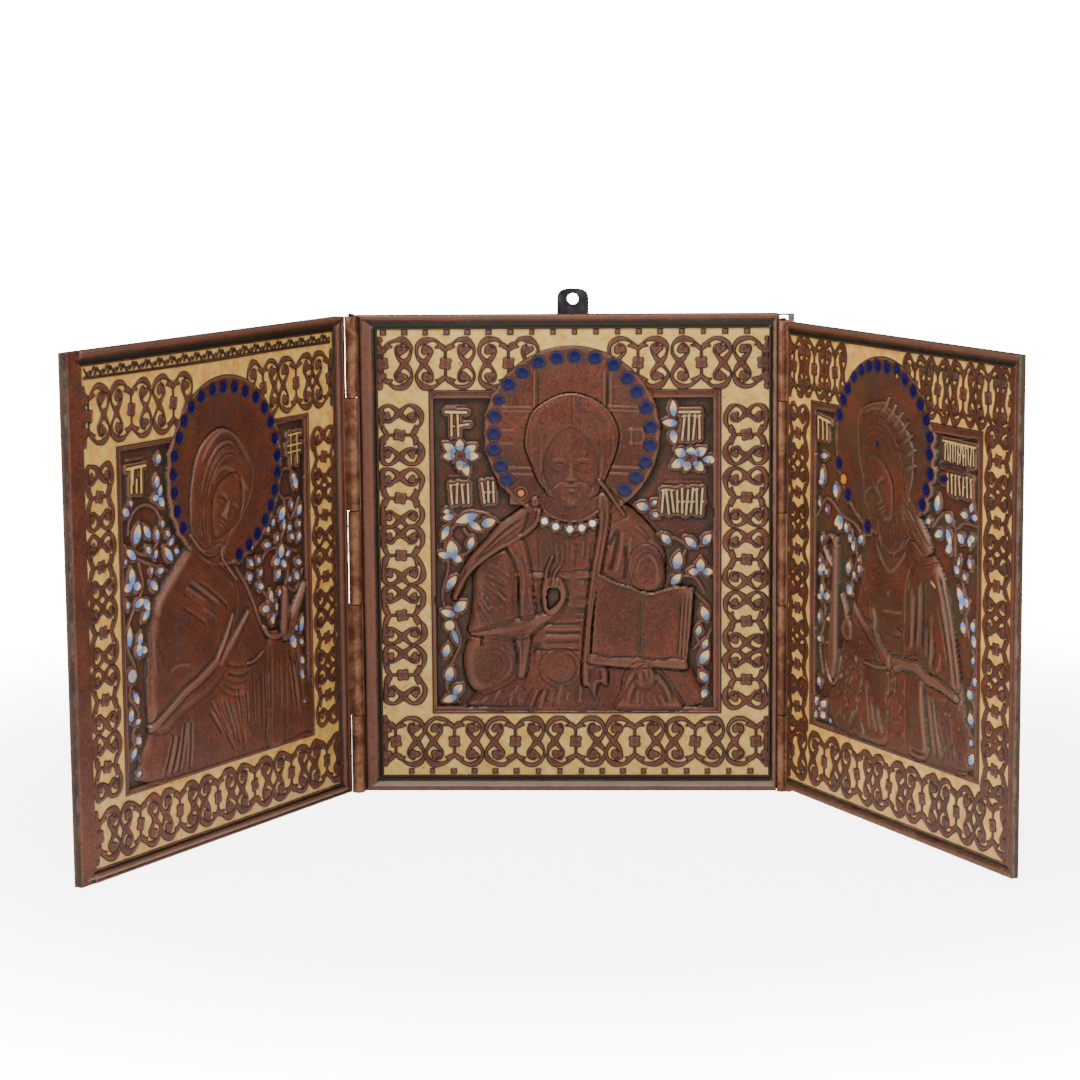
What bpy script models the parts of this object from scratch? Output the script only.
"""Folding altarpiece of three cast brass leaves, standing with its wings part open.

Row frame: +Z up, the face of the centre leaf looks along -Y, and the origin is on
the flat foot of the centre leaf, in the middle of its enamel field.
Sizes are in millimetres here and become metres when the meshes are made.
"""
import math

import bmesh
import bpy
import numpy as np

MM = 0.001

# Driving dimensions
LEAF_HEIGHT = 150.0
FIELD_WIDTH = 120.8
RAIL_TOP = 4.5
RAIL_BOTTOM = 5.0
CENTRE_RAIL_LEFT = 6.5
CENTRE_RAIL_RIGHT = 2.6
CENTRE_LEDGE = 5.2
CENTRE_LEDGE_THICKNESS = 1.2
LEFT_WING_RAIL_OUTER = 6.9
LEFT_WING_RAIL_BOTTOM = 3.9
LEFT_WING_OVERHANG = 1.5
RIGHT_WING_RAIL_OUTER = 3.0
RIGHT_WING_RAIL_BOTTOM = 3.7
RIGHT_WING_RAIL_TOP = 4.1
RIGHT_WING_OVERLAP = 1.1
RIGHT_WING_LIFT = 1.2
RIGHT_WING_DROP = 2.4
RIDGE_HEIGHT = 1.2
RIGHT_WING_RIDGE = 0.8
RIDGE_INSET = 1.1
GROOVE_INSET = 2.6
RIM_WIDTH = 0.9
RIM_HEIGHT = 0.35
CENTRE_BACK = 2.8
LEFT_WING_THICKNESS = 3.5
RIGHT_WING_THICKNESS = 2.5
LEAF_GAP = 0.3
CENTRE_RECESS = 1.1
LEFT_WING_RECESS = 0.9
RIGHT_WING_RECESS = 0.9
RECESS_DRAFT = 0.3
RIDGE_CLEARANCE = 0.05
HALO_BEAD = 0.25
HALO_BEAD_WIDTH = 3.2
CORNER_NOTCH = 5.5
KNUCKLE_RADIUS = 1.9
RIGHT_KNUCKLE_RADIUS = 1.5
KNUCKLE_GAP = 0.3
END_STEP = 0.2
BARREL_CLEARANCE = 0.1
RIGHT_HINGE_DROP = 2.1
WEB_OVERLAP = 0.8
WEB_INSET = 0.35
WEB_FREE_SHARE = 0.45
NECK_SHARE = 0.3
HEEL_SHARES = (0.55, 0.8)
RIGHT_HEEL_SHARES = (0.8, 0.6)
PIN_RADIUS = 0.7
PIN_CLEARANCE = 0.3
PIN_HEAD_RADIUS = 1.1
PIN_HEAD_HEIGHT = 0.5
PIN_DOME_SHARE = 0.6
PIN_RIM_SHARE = 0.4
KNUCKLE_SHARES = (0.0, 0.165, 0.40, 0.597, 0.832, 1.0)
LEFT_FOLD = 61.3
RIGHT_FOLD = 61.9
LOOP_WIDTH = 9.7
LOOP_RISE = 7.7
LOOP_LAP = 9.0
LOOP_THICKNESS = 1.2
LOOP_HOLE_RADIUS = 1.7
LOOP_HOLE_DROP = 3.2
LOOP_ROUNDING = 0.85
SLOT_WIDTH = 2.6
SLOT_HEIGHT = 1.3
SLOT_DEPTH = 0.7
SLOT_DROP = 0.8
BOSS_RADIUS = 2.4
BOSS_HEIGHT = 0.45
BOSS_PITCH = 19.2
BOSS_SINK = 0.25
BORE_OVERRUN = 5.0

# Centre and radius of each halo, on the drawing's sheet
CENTRE_HALO = ((60.0, 108.0), 27.4)
LEFT_WING_HALO = ((65.2, 104.6), 28.0)
RIGHT_WING_HALO = ((54.4, 111.4), 27.0)

# The drawing of the reliefs has its own sheet, laid over each leaf's enamel field
SHEET_WIDTH = 120.8
SHEET_HEIGHT = 140.5

# How finely a leaf is sampled before flat ground is thinned out, and what is kept
SAMPLE = 1.0
KEPT_SHARE = 0.08
ROUND_SIDES = 8
BORE_SIDES = 8

# Worked out from the sizes above
RIGHT_EDGE = RIGHT_KNUCKLE_RADIUS + BARREL_CLEARANCE
RIGHT_AXIS_X = FIELD_WIDTH / 2 + CENTRE_RAIL_RIGHT + RIGHT_EDGE
RIGHT_AXIS_Y = -RIDGE_HEIGHT - LEAF_GAP / 2
CLOSED_RIGHT_BACK = 2 * RIGHT_AXIS_Y + RIDGE_HEIGHT - RIGHT_WING_THICKNESS
LEFT_AXIS_Y = (CLOSED_RIGHT_BACK - LEAF_GAP - RIDGE_HEIGHT) / 2
# The left leaves' ridges lie behind the axis, so their edges may come in under the barrels' sides
LEFT_RIDGE_DEPTH = -LEFT_AXIS_Y - RIDGE_HEIGHT
LEFT_BARREL_REACH = KNUCKLE_RADIUS + BARREL_CLEARANCE
LEFT_EDGE = BARREL_CLEARANCE + math.sqrt(max(LEFT_BARREL_REACH ** 2 - LEFT_RIDGE_DEPTH ** 2,
                                             (KNUCKLE_RADIUS / 2) ** 2))
LEFT_AXIS_X = -(FIELD_WIDTH / 2 + CENTRE_RAIL_LEFT + LEFT_EDGE)
LEFT_WING_WIDTH = RIGHT_AXIS_X - LEFT_AXIS_X - LEFT_EDGE + LEFT_WING_OVERHANG
RIGHT_WING_WIDTH = RIGHT_AXIS_X + FIELD_WIDTH / 2 - RIGHT_EDGE + RIGHT_WING_OVERLAP
LEDGE_FRONT = CENTRE_BACK - CENTRE_LEDGE_THICKNESS
RIGHT_HINGE_TOP = LEAF_HEIGHT - RIGHT_HINGE_DROP


def clear_scene():
    for thing in list(bpy.data.objects):
        bpy.data.objects.remove(thing, do_unlink=True)


def metal(name, colour, roughness):
    material = bpy.data.materials.new(name)
    material.use_nodes = True
    shader = material.node_tree.nodes["Principled BSDF"]
    shader.inputs["Base Color"].default_value = (*colour, 1.0)
    shader.inputs["Metallic"].default_value = 0.55
    shader.inputs["Roughness"].default_value = roughness
    return material


# Shapes of the relief: each gives a height over the sheet's points (p, q)

def ease(start, end, value):
    t = np.clip((value - start) / (end - start), 0.0, 1.0)
    return t * t * (3.0 - 2.0 * t)


def smooth_path(points, closed=False, steps=6):
    """Catmull-Rom curve through a few chosen points."""
    ring = np.array(points, float)
    count = len(ring)
    spans = count if closed else count - 1
    samples = []
    for i in range(spans):
        if closed:
            a, b, c, d = (ring[(i + k) % count] for k in (-1, 0, 1, 2))
        else:
            b, c = ring[i], ring[i + 1]
            a = ring[i - 1] if i else 2 * b - c
            d = ring[i + 2] if i + 2 < count else 2 * c - b
        for step in range(steps):
            t = step / steps
            samples.append(0.5 * (2 * b + (c - a) * t + (2 * a - 5 * b + 4 * c - d) * t * t
                                  + (3 * b - a - 3 * c + d) * t ** 3))
    if not closed:
        samples.append(ring[-1])
    return np.array(samples)


def path_distance(p, q, line, closed=False):
    """Distance to a run of short segments, and the share of the run where it is least."""
    nearest = np.full(p.shape, 1e9)
    share = np.zeros(p.shape)
    count = len(line) if closed else len(line) - 1
    for i in range(count):
        a = line[i]
        b = line[(i + 1) % len(line)]
        along = b - a
        t = ((p - a[0]) * along[0] + (q - a[1]) * along[1]) / max(along @ along, 1e-12)
        t = np.clip(t, 0.0, 1.0)
        gap = np.hypot(p - a[0] - t * along[0], q - a[1] - t * along[1])
        closer = gap < nearest
        nearest = np.where(closer, gap, nearest)
        share = np.where(closer, (i + t) / count, share)
    return nearest, share


def patch(p, q, points, height, edge, smoothed=True):
    """A raised area of one height with a rounded edge."""
    line = smooth_path(points, True, 4) if smoothed else np.array(points, float)
    inside = np.zeros(p.shape, bool)
    for i in range(len(line)):
        a, b = line[i], line[(i + 1) % len(line)]
        crosses = (a[1] > q) != (b[1] > q)
        rise = b[1] - a[1] if b[1] != a[1] else 1e-9
        inside ^= crosses & (p < a[0] + (q - a[1]) * (b[0] - a[0]) / rise)
    gap, _ = path_distance(p, q, line, True)
    return np.where(inside, height * ease(-0.25 * edge, edge, gap), 0.0)


def dome(p, q, centre, radii, height, turn=0.0, flat=1.0):
    """An oval swelling; flat over 1 widens its crown."""
    angle = math.radians(turn)
    x = (p - centre[0]) * math.cos(angle) + (q - centre[1]) * math.sin(angle)
    y = (q - centre[1]) * math.cos(angle) - (p - centre[0]) * math.sin(angle)
    reach = (x / radii[0]) ** 2 + (y / radii[1]) ** 2
    return height * np.sqrt(np.clip(1.0 - reach ** flat, 0.0, 1.0))


def roll(p, q, points, start_radius, end_radius, height):
    """A rounded limb or fold along a curve."""
    gap, share = path_distance(p, q, smooth_path(points))
    radius = start_radius + (end_radius - start_radius) * share
    return height * np.sqrt(np.clip(1.0 - (gap / radius) ** 2, 0.0, 1.0))


def crease(p, q, points, width, depth):
    gap, share = path_distance(p, q, smooth_path(points))
    return -depth * np.exp(-(gap / width) ** 2) * ease(0.0, 0.1, share) * ease(1.0, 0.9, share)


def halo(p, q, circle, ground):
    """A disc with a raised outer bead, level with the enamel, over the picture and the border."""
    centre, radius = circle
    gap = np.hypot(p - centre[0], q - centre[1])
    bead = HALO_BEAD * ease(radius - HALO_BEAD_WIDTH, radius, gap)
    disc = np.where(gap < radius, bead, ground)
    return np.maximum(ground, disc)


def centre_relief(p, q, ground):
    """A frontal half figure with a raised hand and an open book, before a halo."""
    h = halo(p, q, CENTRE_HALO, ground)
    floor = -CENTRE_RECESS
    body = [(31, 20.5), (27, 32), (27, 46), (29, 58), (24, 57), (28, 67), (36, 77), (43, 83), (51, 88),
            (60, 90), (69, 88), (76, 86), (83, 80.5), (87.5, 74), (89, 66), (90, 58), (96, 45), (97, 32),
            (98, 20.5)]
    h = np.maximum(h, floor + patch(p, q, body, 1.15, 2.2))
    h = np.maximum(h, floor + roll(p, q, [(39, 70), (33, 58), (32, 44)], 7.5, 7.0, 1.9))
    h = np.maximum(h, floor + dome(p, q, (34.6, 37.0), (9.2, 8.8), 1.9, 15, 2.0))
    h = np.maximum(h, floor + roll(p, q, [(36, 41), (46, 47), (53, 52), (54, 59)], 3.4, 2.2, 2.1))
    h = np.maximum(h, floor + roll(p, q, [(88, 74), (87, 66), (85, 60)], 6.5, 5.0, 1.7))
    left_page = [(68.6, 62.5), (81.5, 57.5), (80, 35), (65.5, 38.5)]
    right_page = [(81.5, 57.5), (97.2, 59.5), (95.5, 33.5), (80, 35)]
    for page in (left_page, right_page):
        h = np.maximum(h, floor + patch(p, q, page, 1.95, 0.8, smoothed=False))
    h = np.maximum(h, floor + roll(p, q, [(78, 21), (79, 30), (84, 35), (90, 31), (94, 21)], 2.0, 2.0, 1.9))
    h = np.maximum(h, floor + dome(p, q, (83.2, 32.0), (3.4, 3.0), 2.1))
    h = np.maximum(h, floor + roll(p, q, [(70, 88), (67.5, 64), (64, 30)], 2.0, 2.0, 1.55))
    h = np.maximum(h, floor + roll(p, q, [(44, 82), (42, 66), (41, 52)], 1.8, 1.8, 1.4))
    h = np.maximum(h, floor + dome(p, q, (59.8, 34.0), (9.5, 8.5), 1.7, 0, 1.5))
    for level in (42.5, 53.5, 63.5):
        h = h + crease(p, q, [(47, level), (57, level - 0.5), (65, level)], 1.0, 0.35)
    h = np.maximum(h, floor + dome(p, q, (59.5, 104.0), (14.0, 16.2), 1.9, 0, 1.5))
    h = np.maximum(h, floor + roll(p, q, [(47.5, 102), (48.5, 94), (49.0, 88)], 2.6, 2.0, 1.8))
    h = np.maximum(h, floor + roll(p, q, [(71.5, 102), (70.5, 94), (70.5, 87)], 2.6, 2.0, 1.8))
    h = np.maximum(h, floor + dome(p, q, (59.8, 97.0), (8.6, 13.2), 2.25, 0, 1.2))
    return np.minimum(h, RIDGE_HEIGHT - RIDGE_CLEARANCE)


def left_wing_relief(p, q, ground):
    """A veiled half figure turned to the centre leaf, hands raised."""
    h = halo(p, q, LEFT_WING_HALO, ground)
    floor = -LEFT_WING_RECESS
    body = [(27, 20.0), (27, 45), (29, 62), (34, 72), (42, 79), (50, 86), (60, 88), (70, 84),
            (78, 72), (82, 60), (88, 53), (96, 56), (103, 64), (102, 58), (94, 48), (93, 34), (97, 20)]
    h = np.maximum(h, floor + patch(p, q, body, 1.1, 2.0))
    h = np.maximum(h, floor + roll(p, q, [(44, 80), (56, 70), (68, 62), (79, 58)], 6.0, 4.0, 1.8))
    h = np.maximum(h, floor + roll(p, q, [(28, 36), (45, 45), (60, 50), (74, 61)], 3.0, 2.4, 1.75))
    h = np.maximum(h, floor + roll(p, q, [(72, 58), (84, 50), (92, 53), (102, 63)], 3.2, 1.9, 1.9))
    h = np.maximum(h, floor + roll(p, q, [(36, 70), (34, 56), (36, 44)], 6.0, 5.0, 1.6))
    for start, end in ((45, 50), (56, 60), (67, 72), (78, 84)):
        h = h + crease(p, q, [(start, 44), (start + 2, 34), (end, 22)], 1.2, 0.45)
    h = np.maximum(h, floor + dome(p, q, (62.5, 101.5), (15.0, 17.0), 1.75, -18, 1.4))
    h = np.maximum(h, floor + dome(p, q, (65.0, 97.5), (8.6, 12.4), 2.0, -20, 1.2))
    return np.minimum(h, RIDGE_HEIGHT - RIDGE_CLEARANCE)


def right_wing_relief(p, q, ground):
    """A bearded half figure with long hair turned to the centre leaf, hand raised."""
    h = halo(p, q, RIGHT_WING_HALO, ground)
    floor = -RIGHT_WING_RECESS
    body = [(45, 20), (42, 34), (41, 50), (40, 64), (42, 78), (49, 86), (60, 84), (74, 88),
            (82, 84), (88, 78), (92, 62), (96, 48), (98, 36), (98, 20)]
    h = np.maximum(h, floor + patch(p, q, body, 0.85, 2.0))
    h = np.maximum(h, floor + roll(p, q, [(40, 61), (50, 55), (60, 48), (72, 49)], 2.2, 4.2, 1.5))
    h = np.maximum(h, floor + roll(p, q, [(68, 48), (80, 47), (96, 42)], 4.2, 4.5, 1.45))
    h = np.maximum(h, floor + roll(p, q, [(29, 79), (29, 56), (29, 41)], 2.0, 2.2, 1.1))
    h = np.maximum(h, floor + roll(p, q, [(74, 84), (78, 70), (80, 54)], 5.0, 4.0, 1.25))
    h = np.maximum(h, floor + roll(p, q, [(84, 82), (90, 64), (95, 46)], 3.4, 3.0, 1.25))
    for start, end in ((50, 48), (62, 60), (76, 80), (86, 92)):
        h = h + crease(p, q, [(start, 40), (start, 32), (end, 22)], 1.2, 0.4)
    h = np.maximum(h, floor + dome(p, q, (56.5, 106.0), (15.0, 17.0), 1.4, 18, 1.4))
    h = np.maximum(h, floor + roll(p, q, [(66, 108), (71, 97), (80, 85)], 5.0, 2.4, 1.4))
    h = np.maximum(h, floor + dome(p, q, (54.5, 99.0), (9.0, 13.0), 1.6, 20, 1.2))
    h = np.maximum(h, floor + dome(p, q, (58.5, 85.5), (6.0, 6.6), 1.5, 20, 1.2))
    return np.minimum(h, RIGHT_WING_RIDGE - RIDGE_CLEARANCE)


# A leaf: a frame of rails round an enamel field, with a sunk picture in the field

class Leaf:
    """Layout of one leaf. Across, it runs from its left edge to its right edge as its face
    is looked at; rails are given as left, right, bottom and top widths."""

    def __init__(self, rails, low, high, thickness, ridge, picture, relief, recess,
                 plain_sides=(), notched=None):
        self.rails = rails
        self.low = low
        self.high = high
        self.thickness = thickness
        self.ridge = ridge
        self.picture = picture
        self.relief = relief
        self.recess = recess
        self.plain_sides = plain_sides
        self.notched = notched
        self.width = rails["left"] + FIELD_WIDTH + rails["right"]
        self.field_height = high - low - rails["bottom"] - rails["top"]

    def sheet(self, across, up):
        """Sheet coordinates of points measured from the leaf's lower left corner."""
        p = (across - self.rails["left"]) * SHEET_WIDTH / FIELD_WIDTH
        q = (up - self.rails["bottom"]) * SHEET_HEIGHT / self.field_height
        return p, q

    def from_sheet(self, p, q):
        across = self.rails["left"] + p * FIELD_WIDTH / SHEET_WIDTH
        up = self.rails["bottom"] + q * self.field_height / SHEET_HEIGHT
        return across, up


def rail_profile(leaf, side):
    """Distance in from the leaf's edge, and height over the enamel."""
    width = leaf.rails[side]
    if side in leaf.plain_sides:
        return [(0.0, 0.1), (0.3 * min(width, 1.5), RIM_HEIGHT), (width - 0.15, RIM_HEIGHT), (width, 0.0)]
    ridge = min(RIDGE_INSET, 0.3 * width)
    groove = min(GROOVE_INSET, 0.7 * width)
    rim = max(width - RIM_WIDTH, groove + 0.1)
    return [(0.0, leaf.ridge - 0.2), (0.3, leaf.ridge), (ridge, leaf.ridge),
            (groove, -0.1), (rim, RIM_HEIGHT), (width - 0.1, RIM_HEIGHT), (width, 0.0)]


def grid_lines(breaks, inner_start, inner_end):
    """Lines at every break of the profile, with an even spacing across the picture."""
    count = max(int(round((inner_end - inner_start) / SAMPLE)), 2)
    inner = np.linspace(inner_start, inner_end, count + 1)
    lines = sorted(set(np.round(np.concatenate([breaks, inner]), 4)))
    kept = [lines[0]]
    for value in lines[1:]:
        if value - kept[-1] > 0.06:
            kept.append(value)
    return np.array(kept)


def leaf_heights(leaf, across, up):
    """Height over the enamel plane at every crossing of the grid lines."""
    p, q = leaf.sheet(across, up)
    height = leaf.high - leaf.low
    edge_gap = {"left": across, "right": leaf.width - across, "bottom": up, "top": height - up}
    surface = np.zeros(across.shape)
    in_rail = np.zeros(across.shape, bool)
    for side, gap in edge_gap.items():
        width = leaf.rails[side]
        profile = np.array(rail_profile(leaf, side))
        shape = np.interp(gap, profile[:, 0], profile[:, 1])
        inside = gap < width - 1e-6
        surface = np.where(inside & in_rail, np.maximum(surface, shape), np.where(inside, shape, surface))
        in_rail |= inside
    if leaf.notched:
        notch = (edge_gap[leaf.notched] < CORNER_NOTCH) & in_rail
        surface = np.where(notch, np.minimum(surface, RIM_HEIGHT), surface)
    left, right, bottom, top = leaf.picture
    sunk = np.minimum(np.minimum(p - left, right - p), np.minimum(q - bottom, top - q))
    ground = -leaf.recess * ease(0.0, RECESS_DRAFT, sunk)
    carved = leaf.relief(p, q, ground)
    framed = (p > 0) & (p < SHEET_WIDTH) & (q > 0) & (q < SHEET_HEIGHT)
    return np.where(framed & ~in_rail, carved, surface)


def leaf_mesh(name, leaf, place):
    """A closed solid: carved front, straight edges, flat back. place maps a point
    (across, height over the enamel, up) into the object's own frame."""
    height = leaf.high - leaf.low
    breaks_across, breaks_up = [], []
    for side, extent, breaks in (("left", leaf.width, breaks_across), ("bottom", height, breaks_up)):
        other = "right" if side == "left" else "top"
        breaks += [gap for gap, _ in rail_profile(leaf, side)]
        breaks += [extent - gap for gap, _ in rail_profile(leaf, other)]
    if leaf.notched:
        breaks_across += [CORNER_NOTCH - 0.1, CORNER_NOTCH]
    left, right, bottom, top = leaf.picture
    start, low = leaf.from_sheet(left, bottom)
    end, high = leaf.from_sheet(right, top)
    breaks_across += [start, start + RECESS_DRAFT, end - RECESS_DRAFT, end]
    breaks_up += [low, low + RECESS_DRAFT, high - RECESS_DRAFT, high]
    halo_top = leaf.from_sheet(0.0, SHEET_HEIGHT - 1.5)[1]
    lines_across = grid_lines(np.array(breaks_across), start, end)
    lines_up = grid_lines(np.array(breaks_up), low, halo_top)
    across, up = np.meshgrid(lines_across, lines_up)
    surface = leaf_heights(leaf, across, up)

    shape = bmesh.new()
    rows, columns = across.shape
    back = leaf.thickness
    front = [[shape.verts.new(place(across[r, c], surface[r, c], up[r, c] + leaf.low))
              for c in range(columns)] for r in range(rows)]
    for r in range(rows - 1):
        for c in range(columns - 1):
            shape.faces.new((front[r][c], front[r][c + 1], front[r + 1][c + 1], front[r + 1][c]))
    ring = [(0, c) for c in range(columns)] + [(r, columns - 1) for r in range(1, rows)]
    ring += [(rows - 1, c) for c in range(columns - 2, -1, -1)] + [(r, 0) for r in range(rows - 2, 0, -1)]
    rear = [shape.verts.new(place(across[r, c], leaf.ridge - back, up[r, c] + leaf.low)) for r, c in ring]
    for i, (r, c) in enumerate(ring):
        following = (i + 1) % len(ring)
        r2, c2 = ring[following]
        shape.faces.new((front[r2][c2], front[r][c], rear[i], rear[following]))
    shape.faces.new(list(reversed(rear)))
    bmesh.ops.recalc_face_normals(shape, faces=shape.faces)
    mesh = bpy.data.meshes.new(name)
    shape.to_mesh(mesh)
    shape.free()
    return mesh


def new_object(name, mesh, material):
    thing = bpy.data.objects.new(name, mesh)
    mesh.materials.append(material)
    bpy.context.scene.collection.objects.link(thing)
    return thing


def mesh_from(name, shape):
    bmesh.ops.recalc_face_normals(shape, faces=shape.faces)
    mesh = bpy.data.meshes.new(name)
    shape.to_mesh(mesh)
    shape.free()
    return mesh


def extrude_outline(shape, outline, low, high):
    """A prism on a closed outline in X and Y, in millimetres."""
    lower = [shape.verts.new((x * MM, y * MM, low * MM)) for x, y in outline]
    face = shape.faces.new(lower)
    raised = bmesh.ops.extrude_face_region(shape, geom=[face])["geom"]
    moved = [part for part in raised if isinstance(part, bmesh.types.BMVert)]
    bmesh.ops.translate(shape, verts=moved, vec=(0.0, 0.0, (high - low) * MM))


def knuckle_outline(radius, heel_shares, side, web_front, web_back, web_far):
    """A barrel on the axis, round in front, with a web that runs back and into the leaf's
    edge: side is 1 where the leaf lies towards +X and -1 where it lies towards -X."""
    front = [(radius * math.cos(angle), radius * math.sin(angle))
             for angle in (-math.pi + math.pi * i / ROUND_SIDES for i in range(ROUND_SIDES + 1))]
    free = radius * WEB_FREE_SHARE
    neck = radius * NECK_SHARE
    heel = (radius * heel_shares[0], radius * heel_shares[1])
    if side > 0:
        return front + [(radius, neck), (web_far, web_front), (web_far, web_back),
                        (-free, web_back), (-heel[0], heel[1])]
    return front + [heel, (free, web_back), (-web_far, web_back), (-web_far, web_front), (-radius, neck)]


def knuckle_block(name, radius, heel_shares, side, web, spans):
    shape = bmesh.new()
    for low, high in spans:
        extrude_outline(shape, knuckle_outline(radius, heel_shares, side, *web), low, high)
    return mesh_from(name, shape)


def box_mesh(name, low, high):
    shape = bmesh.new()
    outline = [(low[0], low[1]), (high[0], low[1]), (high[0], high[1]), (low[0], high[1])]
    extrude_outline(shape, outline, low[2], high[2])
    return mesh_from(name, shape)


def round_bar(shape, radius, low, high, sides, centre=(0.0, 0.0)):
    ring = [(centre[0] + radius * math.cos(2 * math.pi * i / sides),
             centre[1] + radius * math.sin(2 * math.pi * i / sides)) for i in range(sides)]
    extrude_outline(shape, ring, low, high)


def guide(thing):
    thing.hide_render = True
    thing.display_type = "WIRE"
    return thing


def boolean(thing, operand, operation):
    step = thing.modifiers.new(operand.name, "BOOLEAN")
    step.operation = operation
    step.object = operand
    step.solver = "EXACT"


def thin_out(thing):
    step = thing.modifiers.new("thin flat ground", "DECIMATE")
    step.decimate_type = "COLLAPSE"
    step.ratio = KEPT_SHARE
    step.use_collapse_triangulate = True


def boss_places(leaf):
    """Centres of the scrollwork bosses, spaced evenly along the four border bands."""
    left, right, bottom, top = leaf.picture
    side_bands = (left / 2, (right + SHEET_WIDTH) / 2)
    level_bands = (bottom / 2, (top + SHEET_HEIGHT) / 2)
    across_count = int(SHEET_WIDTH // BOSS_PITCH)
    up_count = int((top - bottom) // BOSS_PITCH)
    places = []
    for i in range(across_count):
        p = SHEET_WIDTH * (i + 0.5) / across_count
        places += [(p, q) for q in level_bands]
    for i in range(up_count):
        q = bottom + (top - bottom) * (i + 0.5) / up_count
        places += [(p, q) for p in side_bands]
    return places


def boss_mesh(name, leaf, place, halo_centre, halo_reach):
    """Low four-sided bosses of the border, each sunk a little into the enamel field."""
    shape = bmesh.new()
    for p, q in boss_places(leaf):
        if math.hypot(p - halo_centre[0], q - halo_centre[1]) < halo_reach + BOSS_RADIUS:
            continue
        across, up = leaf.from_sheet(p, q)
        base = []
        for k in range(4):
            angle = math.pi / 2 * k
            point = (across + BOSS_RADIUS * math.cos(angle), -BOSS_SINK,
                     up + leaf.low + BOSS_RADIUS * math.sin(angle))
            base.append(shape.verts.new(place(*point)))
        tip = shape.verts.new(place(across, BOSS_HEIGHT, up + leaf.low))
        shape.faces.new(base)
        for k in range(4):
            shape.faces.new((base[k], base[(k + 1) % 4], tip))
    return mesh_from(name, shape)


def hinge_spans(first, top):
    """Every second stretch of the hinge, with a gap at each meeting end."""
    spans = []
    last = len(KNUCKLE_SHARES) - 2
    for i in range(first, last + 1, 2):
        low = top * KNUCKLE_SHARES[i] + (KNUCKLE_GAP / 2 if i else END_STEP)
        high = top * KNUCKLE_SHARES[i + 1] - (KNUCKLE_GAP / 2 if i < last else END_STEP)
        spans.append((low, high))
    return spans


def bore_mesh(name, axis=(0.0, 0.0)):
    shape = bmesh.new()
    round_bar(shape, PIN_RADIUS + PIN_CLEARANCE, -BORE_OVERRUN, LEAF_HEIGHT + BORE_OVERRUN, BORE_SIDES, axis)
    return mesh_from(name, shape)


def pin_mesh(name, top):
    """A plain pin with a low domed head over the top knuckle."""
    seat = top + KNUCKLE_GAP
    rings = [(PIN_RADIUS, KNUCKLE_GAP), (PIN_RADIUS, seat), (PIN_HEAD_RADIUS, seat),
             (PIN_HEAD_RADIUS, seat + PIN_HEAD_HEIGHT * PIN_RIM_SHARE),
             (PIN_HEAD_RADIUS * PIN_DOME_SHARE, seat + PIN_HEAD_HEIGHT)]
    shape = bmesh.new()
    previous = None
    for radius, level in rings:
        ring = [shape.verts.new((radius * MM * math.cos(2 * math.pi * i / BORE_SIDES),
                                 radius * MM * math.sin(2 * math.pi * i / BORE_SIDES), level * MM))
                for i in range(BORE_SIDES)]
        if previous is None:
            shape.faces.new(ring)
        else:
            for i in range(BORE_SIDES):
                j = (i + 1) % BORE_SIDES
                shape.faces.new((previous[i], previous[j], ring[j], ring[i]))
        previous = ring
    shape.faces.new(previous)
    return mesh_from(name, shape)


def loop_mesh(name):
    """The hanging tab: a plate with a round head and a hole, lapping down the back."""
    half = LOOP_WIDTH / 2
    head = LOOP_RISE - half * LOOP_ROUNDING
    outline = [(-half, -LOOP_LAP), (half, -LOOP_LAP), (half, head)]
    for i in range(1, ROUND_SIDES):
        angle = math.pi * i / ROUND_SIDES
        outline.append((half * math.cos(angle), head + (LOOP_RISE - head) * math.sin(angle)))
    outline.append((-half, head))
    shape = bmesh.new()
    face = shape.faces.new([shape.verts.new((x * MM, 0.0, z * MM)) for x, z in outline])
    raised = bmesh.ops.extrude_face_region(shape, geom=[face])["geom"]
    moved = [part for part in raised if isinstance(part, bmesh.types.BMVert)]
    bmesh.ops.translate(shape, verts=moved, vec=(0.0, LOOP_THICKNESS * MM, 0.0))
    return mesh_from(name, shape)


def lay_out_leaves():
    """The three leaves, each drawn as its face is looked at."""
    centre_rails = {"left": CENTRE_RAIL_LEFT, "right": CENTRE_RAIL_RIGHT,
                    "bottom": RAIL_BOTTOM, "top": RAIL_TOP}
    centre = Leaf(centre_rails, 0.0, LEAF_HEIGHT, RIDGE_HEIGHT + CENTRE_BACK, RIDGE_HEIGHT,
                  (16.2, 105.6, 20.2, 121.2), centre_relief, CENTRE_RECESS)
    left_inner = LEFT_WING_WIDTH - FIELD_WIDTH - LEFT_WING_RAIL_OUTER
    left_rails = {"left": LEFT_WING_RAIL_OUTER, "right": left_inner,
                  "bottom": LEFT_WING_RAIL_BOTTOM, "top": RAIL_TOP}
    left_wing = Leaf(left_rails, 0.0, LEAF_HEIGHT, LEFT_WING_THICKNESS, RIDGE_HEIGHT,
                     (14.6, 107.2, 18.4, 116.6), left_wing_relief, LEFT_WING_RECESS, ("left",), "left")
    right_inner = RIGHT_WING_WIDTH - FIELD_WIDTH - RIGHT_WING_RAIL_OUTER
    right_rails = {"left": right_inner, "right": RIGHT_WING_RAIL_OUTER,
                   "bottom": RIGHT_WING_RAIL_BOTTOM, "top": RIGHT_WING_RAIL_TOP}
    right_wing = Leaf(right_rails, RIGHT_WING_LIFT, LEAF_HEIGHT - RIGHT_WING_DROP, RIGHT_WING_THICKNESS,
                      RIGHT_WING_RIDGE, (13.6, 105.8, 20.4, 121.0), right_wing_relief, RIGHT_WING_RECESS,
                      ("left", "right"))
    return centre, left_wing, right_wing


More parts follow.
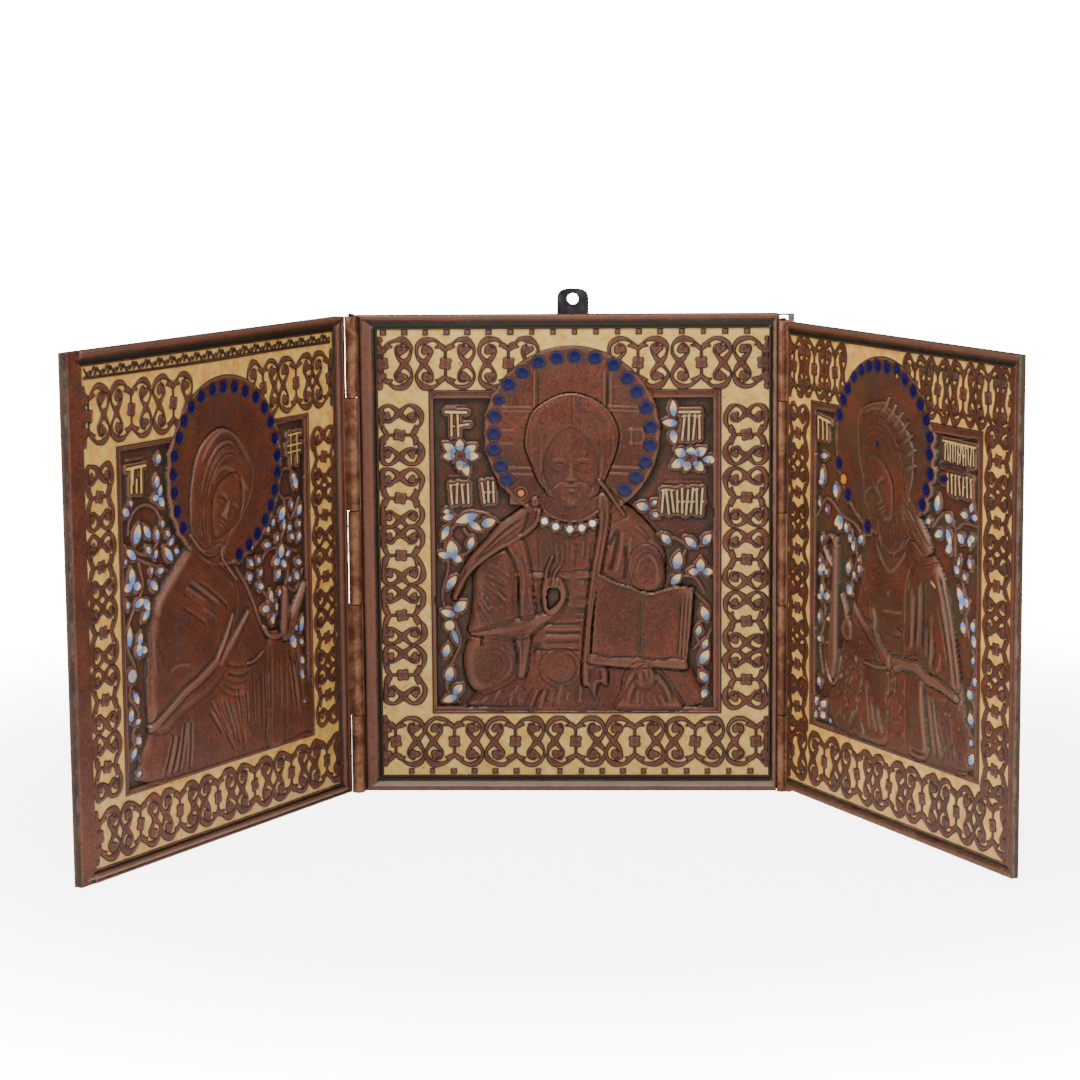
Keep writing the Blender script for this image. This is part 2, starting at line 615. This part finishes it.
def centre_place(across, height, up):
    return ((across - FIELD_WIDTH / 2 - CENTRE_RAIL_LEFT) * MM, -height * MM, up * MM)


def left_place(across, height, up):
    """In the wing's own frame: its axis at the origin, the leaf laid out flat towards -X."""
    return ((across - LEFT_WING_WIDTH - LEFT_EDGE) * MM, (-height - LEFT_AXIS_Y) * MM, up * MM)


def right_place(across, height, up):
    """In the wing's own frame: its axis at the origin, the leaf laid out flat towards +X."""
    step = RIDGE_HEIGHT - RIGHT_WING_RIDGE
    return ((across + RIGHT_EDGE) * MM, (-height - step - RIGHT_AXIS_Y) * MM, up * MM)


def finish_leaf(name, leaf, place, additions, bores, halo_circle, material):
    """A leaf with its bosses and hinge parts joined on and its pin bores cut."""
    thing = new_object(name, leaf_mesh(name, leaf, place), material)
    thin_out(thing)
    bosses = new_object(name + "_bosses", boss_mesh(name + "_bosses", leaf, place, *halo_circle), material)
    operands = [(bosses, "UNION")]
    operands += [(new_object(mesh.name, mesh, material), "UNION") for mesh in additions]
    operands += [(new_object(mesh.name, mesh, material), "DIFFERENCE") for mesh in bores]
    for operand, operation in operands:
        guide(operand)
        operand.parent = thing
        boolean(thing, operand, operation)
    return thing


def build():
    clear_scene()
    patina = metal("brown brass", (0.20, 0.075, 0.045), 0.5)
    grey = metal("grey brass", (0.10, 0.10, 0.095), 0.45)
    centre, left_wing, right_wing = lay_out_leaves()
    left_axis = (LEFT_AXIS_X, LEFT_AXIS_Y)
    right_axis = (RIGHT_AXIS_X, RIGHT_AXIS_Y)

    def web(axis_y, enamel_y, back_y, edge):
        """Where a knuckle's web starts behind the enamel and ends before the leaf's back."""
        return enamel_y - axis_y + WEB_INSET, back_y - axis_y - WEB_INSET, edge + WEB_OVERLAP

    right_enamel = RIGHT_WING_RIDGE - RIDGE_HEIGHT
    left_wing_back = LEFT_WING_THICKNESS - RIDGE_HEIGHT
    right_wing_back = RIGHT_WING_THICKNESS - RIDGE_HEIGHT
    centre_left = knuckle_block("centre_left_knuckles", KNUCKLE_RADIUS, HEEL_SHARES, 1,
                                web(LEFT_AXIS_Y, 0.0, CENTRE_BACK, LEFT_EDGE), hinge_spans(0, LEAF_HEIGHT))
    centre_right = knuckle_block("centre_right_knuckles", RIGHT_KNUCKLE_RADIUS, RIGHT_HEEL_SHARES, -1,
                                 web(RIGHT_AXIS_Y, 0.0, CENTRE_BACK, RIGHT_EDGE),
                                 hinge_spans(1, RIGHT_HINGE_TOP))
    left_knuckles = knuckle_block("left_wing_knuckles", KNUCKLE_RADIUS, HEEL_SHARES, -1,
                                  web(LEFT_AXIS_Y, 0.0, left_wing_back, LEFT_EDGE),
                                  hinge_spans(1, LEAF_HEIGHT))
    right_knuckles = knuckle_block("right_wing_knuckles", RIGHT_KNUCKLE_RADIUS, RIGHT_HEEL_SHARES, 1,
                                   web(RIGHT_AXIS_Y, right_enamel, right_wing_back, RIGHT_EDGE),
                                   hinge_spans(0, RIGHT_HINGE_TOP))
    for mesh, axis in ((centre_left, left_axis), (centre_right, right_axis)):
        for vertex in mesh.vertices:
            vertex.co.x += axis[0] * MM
            vertex.co.y += axis[1] * MM
    ledge_start = FIELD_WIDTH / 2 + CENTRE_RAIL_RIGHT - WEB_OVERLAP
    ledge_end = FIELD_WIDTH / 2 + CENTRE_RAIL_RIGHT + CENTRE_LEDGE
    ledge = box_mesh("ledge", (ledge_start, LEDGE_FRONT, END_STEP),
                     (ledge_end, CENTRE_BACK - END_STEP, LEAF_HEIGHT - END_STEP))
    slot_start = RIGHT_AXIS_X - SLOT_WIDTH / 3
    slot = box_mesh("ledge_slot", (slot_start, LEDGE_FRONT - 1.0, LEAF_HEIGHT - SLOT_DROP - SLOT_HEIGHT),
                    (slot_start + SLOT_WIDTH, LEDGE_FRONT + SLOT_DEPTH, LEAF_HEIGHT - SLOT_DROP))
    finish_leaf("central_panel", centre, centre_place, [centre_left, centre_right, ledge],
                [bore_mesh("left_bore", left_axis), bore_mesh("right_bore", right_axis), slot],
                CENTRE_HALO, patina)

    left = finish_leaf("left_wing", left_wing, left_place, [left_knuckles],
                       [bore_mesh("left_wing_bore")], LEFT_WING_HALO, patina)
    left.location = (LEFT_AXIS_X * MM, LEFT_AXIS_Y * MM, 0.0)
    left.rotation_euler = (0.0, 0.0, math.radians(LEFT_FOLD))

    right = finish_leaf("right_wing", right_wing, right_place, [right_knuckles],
                        [bore_mesh("right_wing_bore")], RIGHT_WING_HALO, patina)
    right.location = (RIGHT_AXIS_X * MM, RIGHT_AXIS_Y * MM, 0.0)
    right.rotation_euler = (0.0, 0.0, -math.radians(RIGHT_FOLD))

    left_pin = new_object("left_hinge_pin", pin_mesh("left_hinge_pin", LEAF_HEIGHT), grey)
    left_pin.location = (LEFT_AXIS_X * MM, LEFT_AXIS_Y * MM, 0.0)
    right_pin = new_object("right_hinge_pin", pin_mesh("right_hinge_pin", RIGHT_HINGE_TOP), grey)
    right_pin.location = (RIGHT_AXIS_X * MM, RIGHT_AXIS_Y * MM, 0.0)

    tab = new_object("hanging_loop", loop_mesh("hanging_loop"), grey)
    hole_shape = bmesh.new()
    round_bar(hole_shape, LOOP_HOLE_RADIUS, -BORE_OVERRUN, BORE_OVERRUN, ROUND_SIDES)
    hole = guide(new_object("loop_hole", mesh_from("loop_hole", hole_shape), grey))
    hole.parent = tab
    hole.location = (0.0, 0.0, (LOOP_RISE - LOOP_HOLE_DROP) * MM)
    hole.rotation_euler = (math.pi / 2, 0.0, 0.0)
    boolean(tab, hole, "DIFFERENCE")
    tab.location = (0.0, (CENTRE_BACK + LEAF_GAP) * MM, LEAF_HEIGHT * MM)


build()
